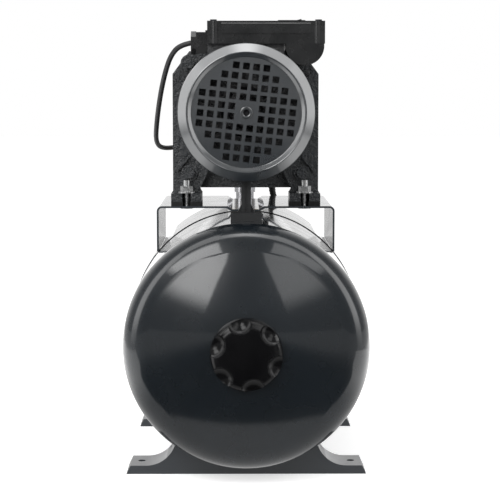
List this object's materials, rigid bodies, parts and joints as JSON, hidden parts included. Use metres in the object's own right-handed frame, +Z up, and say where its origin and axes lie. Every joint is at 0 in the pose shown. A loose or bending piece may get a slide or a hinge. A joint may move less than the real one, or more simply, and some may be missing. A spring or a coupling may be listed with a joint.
{
  "type": "booster pump set",
  "caption": "Domestic water booster: jet pump with finned motor, terminal box, pressure switch, gauge and braided hose on a plate over a horizontal membrane pressure tank with pressed feet",
  "frame": {"origin": "on the floor under the middle of the set's outer box, without its cords", "axes": "+Z up, -Y towards the fan cover and the tank's air valve, +Y towards the pump's ports and the tank's mouth, +X to the right seen from the fan end"},
  "size_m": [0.2716, 0.6485, 0.507],
  "materials": {
    "tank_paint": "glossy blue-black stoved paint",
    "foot_paint": "satin dark grey paint",
    "plate_paint": "satin dark grey paint",
    "cover_paint": "glossy blue-black paint",
    "bare_steel": "machined",
    "zinc_steel": "zinc plated",
    "black_casting": "black paint on a rough casting",
    "black_aluminium": "black paint",
    "black_plastic": "fine grain",
    "rocker_plastic": "smooth",
    "grey_plastic": "fine grain",
    "capacitor_plastic": "smooth",
    "rubber": "smooth",
    "brass": "turned and cast",
    "ferrule_steel": "crimped",
    "braid": "woven wire over a rubber tube",
    "copper": "enamelled copper wire",
    "seal": "lapped ceramic and carbon",
    "dial": "white",
    "needle": "black",
    "lens": "clear"
  },
  "bodies": {
    "set": {"air_valve": "brass", "box_gland": "black_plastic", "box_gland_cap": "black_plastic", "braided_hose": "braid", "capacitor": "capacitor_plastic", "casing_bolts": "zinc_steel", "diffuser": "bare_steel", "ejector": "bare_steel", "fan_cover": "cover_paint", "fan_cover_screws": "zinc_steel", "foot_bolts": "zinc_steel", "foot_nuts_and_washers": "zinc_steel", "foot_pads": "rubber", "front_bearing": "bare_steel", "gauge_case": "black_plastic", "gauge_dial": "dial", "gauge_lens": "lens", "hose_elbow": "brass", "hose_ferrules": "ferrule_steel", "hose_nuts": "brass", "mains_coil": "rubber", "mains_cord": "rubber", "mains_plug": "black_plastic", "manifold": "brass", "motor_bracket": "black_casting", "motor_end_shield": "black_aluminium", "motor_foot": "black_plastic", "motor_housing": "black_aluminium", "mounting_plate": "plate_paint", "pressure_switch_base": "black_plastic", "pressure_switch_cover": "grey_plastic", "pressure_switch_glands": "black_plastic", "pump_casing": "black_casting", "rear_bearing": "bare_steel", "seal_seat": "seal", "stator_core": "bare_steel", "stator_windings": "copper", "switch_bezel": "black_plastic", "switch_lead": "rubber", "tank_flange": "bare_steel", "tank_flange_screws": "zinc_steel", "tank_front_foot": "foot_paint", "tank_front_shell": "tank_paint", "tank_membrane": "rubber", "tank_neck_ring": "bare_steel", "tank_rear_foot": "foot_paint", "tank_rear_shell": "tank_paint", "terminal_box": "black_plastic", "terminal_lid": "black_plastic", "terminal_lid_screws": "zinc_steel"},
    "rotor": {"shaft": "bare_steel", "rotor_core": "bare_steel", "fan": "black_plastic", "impeller": "bare_steel", "seal_ring": "seal"},
    "rocker": {"rocker_switch": "rocker_plastic"},
    "needle": {"gauge_needle": "needle"},
    "cap": {"valve_cap": "black_plastic"},
    "filler": {"filler_plug": "brass"},
    "drain": {"drain_plug": "brass"}
  },
  "joints": [
    {"name": "rotor_spin", "type": "hinge", "parent": "set", "child": "rotor", "pos_m": [0, 0, 0.4025], "axis": [0, 1, 0], "continuous": true},
    {"name": "rocker_tip", "type": "hinge", "parent": "set", "child": "rocker", "pos_m": [0.052, -0.0785, 0.502], "axis": [0, 1, 0], "range_deg": [0, 16]},
    {"name": "needle_swing", "type": "hinge", "parent": "set", "child": "needle", "pos_m": [-0.052, 0.1945, 0.345], "axis": [0, -1, 0], "range_deg": [0, 270]},
    {"name": "cap_off", "type": "slide", "parent": "set", "child": "cap", "axis": [0, -1, 0], "range_m": [0, 0.03]},
    {"name": "filler_plug_out", "type": "slide", "parent": "set", "child": "filler", "axis": [0, 0, 1], "range_m": [0, 0.025]},
    {"name": "drain_plug_out", "type": "slide", "parent": "set", "child": "drain", "axis": [0, 1, 0], "range_m": [0, 0.015]}
  ]
}
